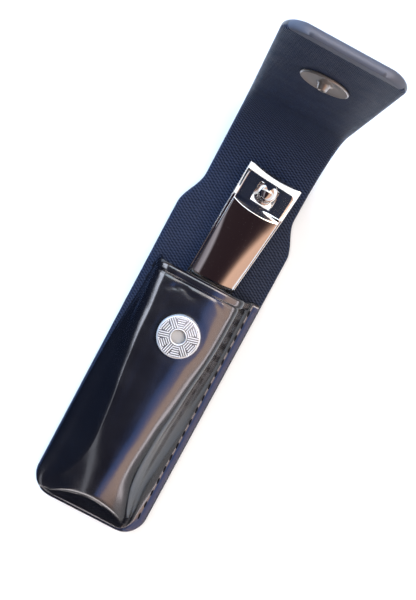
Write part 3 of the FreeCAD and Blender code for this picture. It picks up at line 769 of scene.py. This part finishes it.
# Seam stitches: a row of waxed thread down each side, one short slanting bead for each stitch.
# They lie sunk in the margin where the front is sewn to the back.
thread_finish, nodes, links, thread_shader = new_finish("thread")
thread_shader.inputs["Roughness"].default_value = 0.8
thread_shader.inputs["Specular IOR Level"].default_value = 0.15
twist_place = nodes.new("ShaderNodeTexCoord")
twist = nodes.new("ShaderNodeTexWave")
twist.bands_direction = "DIAGONAL"
twist.inputs["Scale"].default_value = 700
twist_bump = nodes.new("ShaderNodeBump")
twist_bump.inputs["Strength"].default_value = 0.6
twist_bump.inputs["Distance"].default_value = 0.08 * MM
links.new(twist_place.outputs["Object"], twist.inputs["Vector"])
links.new(twist.outputs["Fac"], twist_bump.inputs["Height"])
links.new(twist_bump.outputs["Normal"], thread_shader.inputs["Normal"])
links.new(colour_between(thread_finish, twist.outputs["Fac"], (0.004, 0.004, 0.006), (0.012, 0.012, 0.018)),
          thread_shader.inputs["Base Color"])
STITCH_PITCH = 3.6 * MM
STITCH = Matrix.Diagonal((0.3 * MM, 1.1 * MM, 0.3 * MM, 1))
for side in ("left", "right"):
    row_low, row_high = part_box(f"seam_stitches_{side}")
    row_x = (row_low.x + row_high.x) / 2
    count = round((row_high.y - row_low.y) / STITCH_PITCH) + 1
    lean, sunk = (6, 0.06 * MM) if side == "right" else (-6, front_sheet)
    bm = bmesh.new()
    for index in range(count):
        spot = Vector((row_x, row_high.y - 1.25 * MM - STITCH_PITCH * index, margin_top - sunk))
        place = Matrix.Translation(spot) @ (Matrix.Rotation(math.radians(lean), 4, "Z") @ STITCH)
        bmesh.ops.create_uvsphere(bm, u_segments=10, v_segments=6, radius=1, matrix=place)
    for face in bm.faces:
        face.smooth = True
    seam_mesh = meshed(f"stitches_{side}", bm)
    seam_mesh.materials.append(thread_finish)
    seam = new_object(f"stitches_{side}", seam_mesh)
    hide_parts(f"seam_stitches_{side}")
    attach(seam, "case")


# Socket half of the snap: a stamped, plated steel cover over a ring magnet, held to the front by prongs.
# Its face is pressed with sectors of fine parallel ribs round a plain pierced middle.
def plating_stains_group():
    """Faint stains of plated metal, from 0 to 1."""
    group, nodes, links, given, result = new_group("plating_stains", ("Vector",), ("Stain",))
    stains = nodes.new("ShaderNodeTexNoise")
    stains.inputs["Scale"].default_value = 420
    stains.inputs["Detail"].default_value = 5
    links.new(given.outputs["Vector"], stains.inputs["Vector"])
    links.new(stains.outputs["Fac"], result.inputs["Stain"])
    return group


plating_stains = plating_stains_group()


def plated_metal(name, colour, metal, low, high):
    """Plated metal with faint stains that dull its colour and change its shine."""
    material, nodes, links, shader = new_finish(name)
    shader.inputs["Metallic"].default_value = metal
    place = nodes.new("ShaderNodeTexCoord")
    stains = nodes.new("ShaderNodeGroup")
    stains.node_tree = plating_stains
    links.new(place.outputs["Object"], stains.inputs["Vector"])
    links.new(value_range(material, stains.outputs["Stain"], low, high), shader.inputs["Roughness"])
    dull = tuple(0.86 * part for part in colour)
    links.new(colour_between(material, stains.outputs["Stain"], dull, colour), shader.inputs["Base Color"])
    return material


def turned_piece(name, profile, place, steps):
    """A round piece: a profile of radius and height pairs spun about its axis."""
    bm = bmesh.new()
    verts = [bm.verts.new((radius * MM, 0, height * MM)) for radius, height in profile]
    edges = [bm.edges.new(pair) for pair in zip(verts, verts[1:])]
    bmesh.ops.spin(bm, geom=verts + edges, cent=(0, 0, 0), axis=(0, 0, 1), angle=2 * math.pi, steps=steps,
                   use_merge=True)
    bmesh.ops.remove_doubles(bm, verts=bm.verts, dist=1e-6)
    bmesh.ops.recalc_face_normals(bm, faces=bm.faces)
    for face in bm.faces:
        face.smooth = True
    bmesh.ops.transform(bm, matrix=place, verts=bm.verts)
    piece = new_object(name, meshed(name, bm))
    rounding = piece.modifiers.new("rounded", "BEVEL")
    rounding.width = 0.06 * MM
    rounding.segments = 2
    rounding.limit_method = "ANGLE"
    rounding.angle_limit = math.radians(35)
    return piece


cover_finish = plated_metal("snap_chrome", (0.92, 0.91, 0.92), 0.55, 0.30, 0.42)
cover_height = (snap_high.z - snap_low.z) / MM
cover_radius = (snap_high.x - snap_low.x) / 2 / MM
cover_profile = (
    (cover_radius - 0.4, 0), (cover_radius - 0.02, 0), (cover_radius - 0.02, cover_height - 0.55),
    (cover_radius - 0.2, cover_height - 0.2), (cover_radius - 0.42, cover_height - 0.1),
    (2.15, cover_height - 0.16), (2.08, cover_height - 0.05), (1.94, cover_height - 0.05),
    (1.84, cover_height - 0.16), (1.82, cover_height - 0.4), (1.82, cover_height - 0.6),
    (cover_radius - 0.5, cover_height - 0.6), (cover_radius - 0.4, 0),
)
cover_place = Matrix.Translation((snap_centre.x, snap_centre.y, snap_low.z))
cover = turned_piece("snap_cover", cover_profile, cover_place, 72)
# The pressed face between the ribs is a dark copy of the plated steel: painted shade between the ribs.
rib_gap_shade_finish = plated_metal("snap_face_shade", (0.15, 0.14, 0.16), 0.6, 0.35, 0.5)
cover.data.materials.append(cover_finish)
cover.data.materials.append(rib_gap_shade_finish)
for face in cover.data.polygons:
    away = math.hypot(face.center.x - snap_centre.x, face.center.y - snap_centre.y)
    if 2.2 * MM < away < (cover_radius - 0.4) * MM:
        face.material_index = 1
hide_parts("socket_cover")
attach(cover, "case")
bm = bmesh.new()
SECTORS = 12
RIB_PITCH = 0.56 * MM
RIB_WIDTH = 0.27 * MM
RIB_HEIGHT = 0.16 * MM
inner, outer = 2.3 * MM, 5.0 * MM
half_angle = math.pi / SECTORS * 0.94
for sector in range(SECTORS):
    turn = 2 * math.pi * (sector + 0.5) / SECTORS
    if sector % 2:
        for index in range(5):
            radius = inner + 0.2 * MM + RIB_PITCH * index
            half = radius * math.tan(half_angle)
            if math.hypot(radius, half) > outer + 0.15 * MM:
                half = math.sqrt(max(0, (outer + 0.1 * MM) ** 2 - radius ** 2))
            rib = Matrix.Diagonal((RIB_WIDTH, 2 * half, RIB_HEIGHT, 1))
            spot = Matrix.Translation((radius, 0, 0))
            bmesh.ops.create_cube(bm, size=1, matrix=Matrix.Rotation(turn, 4, "Z") @ spot @ rib)
    else:
        for index in range(-2, 3):
            aside = RIB_PITCH * index
            start = max(inner, abs(aside) / math.tan(half_angle))
            if start < outer - 0.2 * MM:
                rib = Matrix.Diagonal((outer - start, RIB_WIDTH, RIB_HEIGHT, 1))
                spot = Matrix.Translation(((outer + start) / 2, aside, 0))
                bmesh.ops.create_cube(bm, size=1, matrix=Matrix.Rotation(turn, 4, "Z") @ spot @ rib)
rib_top = snap_high.z - 0.1 * MM
bmesh.ops.translate(bm, vec=(snap_centre.x, snap_centre.y, rib_top), verts=bm.verts)
rib_mesh = meshed("snap_ribs", bm)
rib_mesh.materials.append(cover_finish)
ribs = new_object("snap_ribs", rib_mesh)
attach(ribs, "case")

steel_finish = plated_metal("snap_steel", (0.62, 0.62, 0.64), 0.8, 0.32, 0.46)
magnet_finish = plated_metal("magnet", (0.13, 0.13, 0.14), 0.5, 0.5, 0.65)
for node, finish in (("socket_base", steel_finish), ("socket_washer", steel_finish),
                     ("stud_washer", steel_finish), ("socket_magnet", magnet_finish)):
    frame["nodes"][node].data.materials.clear()
    frame["nodes"][node].data.materials.append(finish)


# Stud half of the snap: a thin dished disc of plated steel on the flap's lining, with a short blunt stud.
# Two prongs behind it go through the lining and are bent over a washer.
stud_along = fold_start + 15.1 * MM
flap_turn = Matrix.Rotation(bend_total, 4, "X")
stud_place = Matrix.Translation(fold_points[1]) @ flap_turn @ Matrix.Translation((0, stud_along, 0))
stud_profile = (
    (0, 0.02), (5.3, 0.02), (5.48, 0.2), (5.48, 0.5), (5.3, 0.68), (4.9, 0.6), (4.2, 0.5), (1.9, 0.46),
    (1.5, 0.56), (1.3, 0.75), (1.08, 1.55), (0.92, 1.86), (0.6, 1.9), (0.45, 1.78), (0, 1.74),
)
stud = turned_piece("stud_disc", stud_profile, stud_place, 64)
stud_finish = plated_metal("stud_chrome", (0.44, 0.39, 0.36), 0.9, 0.30, 0.36)
stud.data.materials.append(stud_finish)
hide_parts("stud_plate")
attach(stud, "flap")


# Clipper blades: two strips of chromed spring steel riveted together at the rear.
# Their front ends are bent towards each other and ground to the curved cutting edges of the jaws.
def hairlines_group():
    """Fine polishing lines along the blade, from 0 to 1."""
    group, nodes, links, given, result = new_group("hairlines", ("Vector",), ("Lines",))
    stretch = nodes.new("ShaderNodeMapping")
    stretch.inputs["Scale"].default_value = (2600, 90, 2600)
    lines = nodes.new("ShaderNodeTexNoise")
    lines.inputs["Scale"].default_value = 1
    lines.inputs["Detail"].default_value = 3
    links.new(given.outputs["Vector"], stretch.inputs["Vector"])
    links.new(stretch.outputs["Vector"], lines.inputs["Vector"])
    links.new(lines.outputs["Fac"], result.inputs["Lines"])
    return group


hairlines = hairlines_group()


def chrome(name, colour, low, high):
    """Bright chrome with fine hairlines along the blade and a faint haze."""
    material, nodes, links, shader = new_finish(name)
    shader.inputs["Metallic"].default_value = 1.0
    shader.inputs["Base Color"].default_value = (*colour, 1)
    place = nodes.new("ShaderNodeTexCoord")
    polish = nodes.new("ShaderNodeGroup")
    polish.node_tree = hairlines
    bump = nodes.new("ShaderNodeBump")
    bump.inputs["Strength"].default_value = 0.03
    bump.inputs["Distance"].default_value = 0.02 * MM
    links.new(place.outputs["Object"], polish.inputs["Vector"])
    links.new(polish.outputs["Lines"], bump.inputs["Height"])
    links.new(bump.outputs["Normal"], shader.inputs["Normal"])
    links.new(value_range(material, polish.outputs["Lines"], low, high), shader.inputs["Roughness"])
    return material


clip_chrome = chrome("clipper_chrome", (0.86, 0.85, 0.85), 0.05, 0.11)
draw_axis = Vector(joints["clipper_draw"]["axis"])
pin_spot = Vector(joints["pin_swivel"]["pos_m"])
pin_back = 4.8 * MM
jaw_tip = pin_spot + draw_axis * pin_back
clip_turn = Matrix.Rotation(-math.atan2(draw_axis.x, draw_axis.y), 4, "Z")
clip_place = Matrix.Translation((jaw_tip.x, jaw_tip.y, 0)) @ clip_turn
CLIP_LENGTH = 82 * MM
JAW_LENGTH = 9 * MM
blade_sheet = 1.3 * MM
blade_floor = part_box("lower_blade")[0].z
joint_height = blade_floor + blade_sheet
junction = 73 * MM
blade_angle = math.radians(4.8)
lower_edge = blade_floor + 3.7 * MM
upper_edge = lower_edge + 1.5 * MM
upper_bend = joint_height + (junction - JAW_LENGTH) * math.tan(blade_angle)
BLADE_WIDTH = ((0, 7.5), (31, 6.4), (82, 5.5))


def blade_half(back):
    half = along_table(BLADE_WIDTH, back / MM) * MM
    half = corner_half(half, 0.25 * MM, back)
    return corner_half(half, 4.5 * MM, CLIP_LENGTH - back)


def eased_bend(back, before, after, turn, ease):
    """Height of a line that changes slope at turn, rounded over the ease length."""
    away = back - turn
    if abs(away) >= ease:
        return (before if away < 0 else after) * away
    return before * away + (after - before) * (away + ease) ** 2 / (4 * ease)


LOWER_JAW_RISE = 2.7 * MM


def lower_face(back):
    jaw = LOWER_JAW_RISE / JAW_LENGTH
    return blade_floor + max(0.0, eased_bend(back, -jaw, 0.0, JAW_LENGTH, 3 * MM))


JAW_LAND = 2.0 * MM
LAND_SLOPE = math.radians(5)
EDGE_BOW = 0.9 * MM


def upper_top(back):
    jaw = (upper_bend + blade_sheet - upper_edge - 1.0 * MM) / JAW_LENGTH
    slope = math.tan(blade_angle)
    rise = eased_bend(back, jaw, -slope, JAW_LENGTH, 2.2 * MM)
    land = max(0.0, JAW_LAND - back) * (jaw - math.tan(LAND_SLOPE))
    return max(upper_bend + blade_sheet + rise + land, joint_height + blade_sheet)


def jaw_depth(back):
    """Half the blade's thickness, ground thin towards the cutting edge."""
    return (0.35 + 0.30 * smoothed(back / (6 * MM))) * MM


def blade_piece(name, top, node, body):
    rows = [0, 0.05, 0.15, 0.3, 0.5, 0.8, 1.2, 1.7, 2.3, 3, 3.8, 4.6, 5.4, 6.2, 7, 7.8, 8.6, 9.4, 10.2]
    rows += [11, 12, 13.5, 15.5]
    rows += [18 + 2 * step for step in range(30)] + [77.5, 78.2, 79, 79.8, 80.5, 81, 81.4, 81.7, 81.9, 82]

    def place(x, back, rise):
        bow = EDGE_BOW * (1 - (x / (7.5 * MM)) ** 2) * smoothed(1 - back / (5 * MM))
        return clip_place @ Vector((x, -back - bow, top(back) + rise))

    blade = formed_strip(name, [row * MM for row in rows], ACROSS, blade_half, jaw_depth, 0.25 * MM, place)
    blade.data.materials.append(clip_chrome)
    blade.data.materials.append(clip_chrome)
    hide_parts(node)
    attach(blade, body)
    return blade


def lower_top(back):
    return lower_face(back) + 2 * jaw_depth(back)


lower_blade = blade_piece("clipper_lower_blade", lower_top, "lower_blade", "clipper")
upper_blade = blade_piece("clipper_upper_blade", upper_top, "upper_blade", "upper_blade")


# Rivets and pin: chromed steel. The pin passes through both jaws and ends in a ball head above the lever,
# with a waisted neck under it that the lever's front bar turns against.
pin_finish = chrome("pin_chrome", (0.84, 0.84, 0.85), 0.04, 0.09)
frame["nodes"]["rear_rivets"].data.materials.clear()
frame["nodes"]["rear_rivets"].data.materials.append(pin_finish)
pin_low, pin_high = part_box("pin")
ball_radius = 2.5
ball_centre = (pin_high.z - pin_low.z) / MM - ball_radius
pin_profile = [(0, 0), (2.9, 0), (2.98, 0.1), (2.98, 0.45), (2.9, 0.54), (2.0, 0.54),
               (2.0, ball_centre - 3.4), (1.7, ball_centre - 3.2), (1.28, ball_centre - 2.9)]
for turn in range(-58, 86, 8):
    rise = math.radians(turn)
    pin_profile.append((ball_radius * math.cos(rise), ball_centre + ball_radius * math.sin(rise)))
pin_profile.append((0, ball_centre + ball_radius))
pin = turned_piece("clipper_pin", pin_profile, Matrix.Translation((pin_spot.x, pin_spot.y, pin_low.z)), 48)
pin.data.materials.append(pin_finish)
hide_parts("pin")
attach(pin, "pin")


# Lever: a crowned strip of chromed steel folded away along the upper blade.
# Its nose is pressed flat, bends down over the jaws and has a square window for the pin's head.
lever_sheet = 1.4 * MM
NOSE_BACK = 2.2 * MM
BEND_BACK = 10.3 * MM
TAIL_BACK = 78 * MM
WINDOW = (3.2 * MM, 8.4 * MM)
WINDOW_HALF = 2.8 * MM
jaw_top = upper_edge + 1.0 * MM
jaw_slope = (upper_bend + blade_sheet - jaw_top) / (8.5 * MM)
nose_floor = jaw_top + (NOSE_BACK - 0.5 * MM) * jaw_slope + 0.3 * MM
bend_floor = joint_height + blade_sheet + (junction - BEND_BACK) * math.tan(blade_angle) + 1.4 * MM
tail_floor = joint_height + blade_sheet + 1.2 * MM
LEVER_WIDTH = ((2.2, 6.7), (31, 6.0), (78, 4.9))
CROWN = (0.3, 1.45)
NOSE_LEAN = math.tan(math.radians(2.5))


def lever_half(back):
    half = along_table(LEVER_WIDTH, back / MM) * MM
    half = corner_half(half, 0.9 * MM, back - NOSE_BACK)
    return corner_half(half, 3.5 * MM, TAIL_BACK - back)


def lever_top(x, back):
    """Top of the lever: the lower of the crowned back and the flat nose."""
    slope = (bend_floor - tail_floor) / (TAIL_BACK - BEND_BACK)
    ridge = bend_floor + lever_sheet - slope * (back - BEND_BACK) + 0.25 * MM
    side = abs(x) / (6.4 * MM)
    crown = (CROWN[0] + (CROWN[1] - CROWN[0]) * smoothed((back - 7 * MM) / (26 * MM))) * MM
    crowned = ridge - crown * (0.55 * side ** 2 + 0.45 * side ** 4)
    nose = nose_floor + lever_sheet + (bend_floor - nose_floor) * (back - NOSE_BACK) / (BEND_BACK - NOSE_BACK)
    return min(crowned, nose)


def lever_point(x, back, rise):
    """Place on the lever; only the nose's top leans, so its underside stays level over the jaw."""
    lean = NOSE_LEAN * x * (1 - smoothed((back - BEND_BACK + 1.5 * MM) / (1.0 * MM)))
    return clip_place @ Vector((x, -back, lever_top(x, back) + rise + lean * (1 + rise / lever_sheet)))


lever_rows = [2.2, 2.22, 2.28, 2.4, 2.6, 2.9, 3.2, 3.6, 4.2, 4.8, 5.4, 6.0, 6.6, 7.2, 7.8, 8.4]
lever_rows += [8.6 + 0.2 * step for step in range(25)] + [14 + 2 * step for step in range(31)]
lever_rows += [74.8, 75.4, 76, 76.6, 77.1, 77.5, 77.8, 77.95, 78]
window_share = WINDOW_HALF / (lever_half(5 * MM) - 0.3 * MM)
lever_shares = [-1 + (1 - window_share) * step / 10 for step in range(10)]
lever_shares += [-window_share + 2 * window_share * step / 12 for step in range(13)]
lever_shares += [window_share + (1 - window_share) * step / 10 for step in range(1, 11)]
LEVER_EDGE = 0.3 * MM


def lever_depth(back):
    return lever_sheet / 2


lever = formed_strip("clipper_lever", [row * MM for row in lever_rows], lever_shares, lever_half,
                     lever_depth, LEVER_EDGE, lever_point)
bm = bmesh.new()
bm.from_mesh(lever.data)
local = clip_place.inverted()
gone = []
for face in bm.faces:
    spot = local @ face.calc_center_median()
    if abs(spot.x) < WINDOW_HALF and WINDOW[0] < -spot.y < WINDOW[1] and abs(face.normal.z) > 0.5:
        gone.append(face)
bmesh.ops.delete(bm, geom=gone, context="FACES")
rim = [edge for edge in bm.edges if edge.is_boundary]
bmesh.ops.bridge_loops(bm, edges=rim)
bmesh.ops.recalc_face_normals(bm, faces=bm.faces)
bm.to_mesh(lever.data)
bm.free()
lever.data.materials.append(clip_chrome)
lever.data.materials.append(clip_chrome)
lever_rounding = lever.modifiers.new("rounded", "BEVEL")
lever_rounding.width = 0.15 * MM
lever_rounding.segments = 2
lever_rounding.limit_method = "ANGLE"
lever_rounding.angle_limit = math.radians(50)
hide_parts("lever")
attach(lever, "lever")
chrome_lit = bpy.data.collections.new("chrome_lit")
chrome_unlit = bpy.data.collections.new("chrome_unlit")
for piece in (lower_blade, upper_blade, pin, lever):
    chrome_lit.objects.link(piece)
    chrome_unlit.objects.link(piece)
for entry in chrome_unlit.collection_objects:
    entry.light_linking.link_state = "EXCLUDE"
for (name, spot, power, colour), strong in zip(REAR_LIGHTS, rear_lights):
    strong.light_linking.receiver_collection = chrome_unlit
    faint = soft_light(f"{name}_chrome", spot, (0, 0.05, 0.05), 0.32, 0.36, 0.2 * power, colour, True)
    faint.light_linking.receiver_collection = chrome_lit
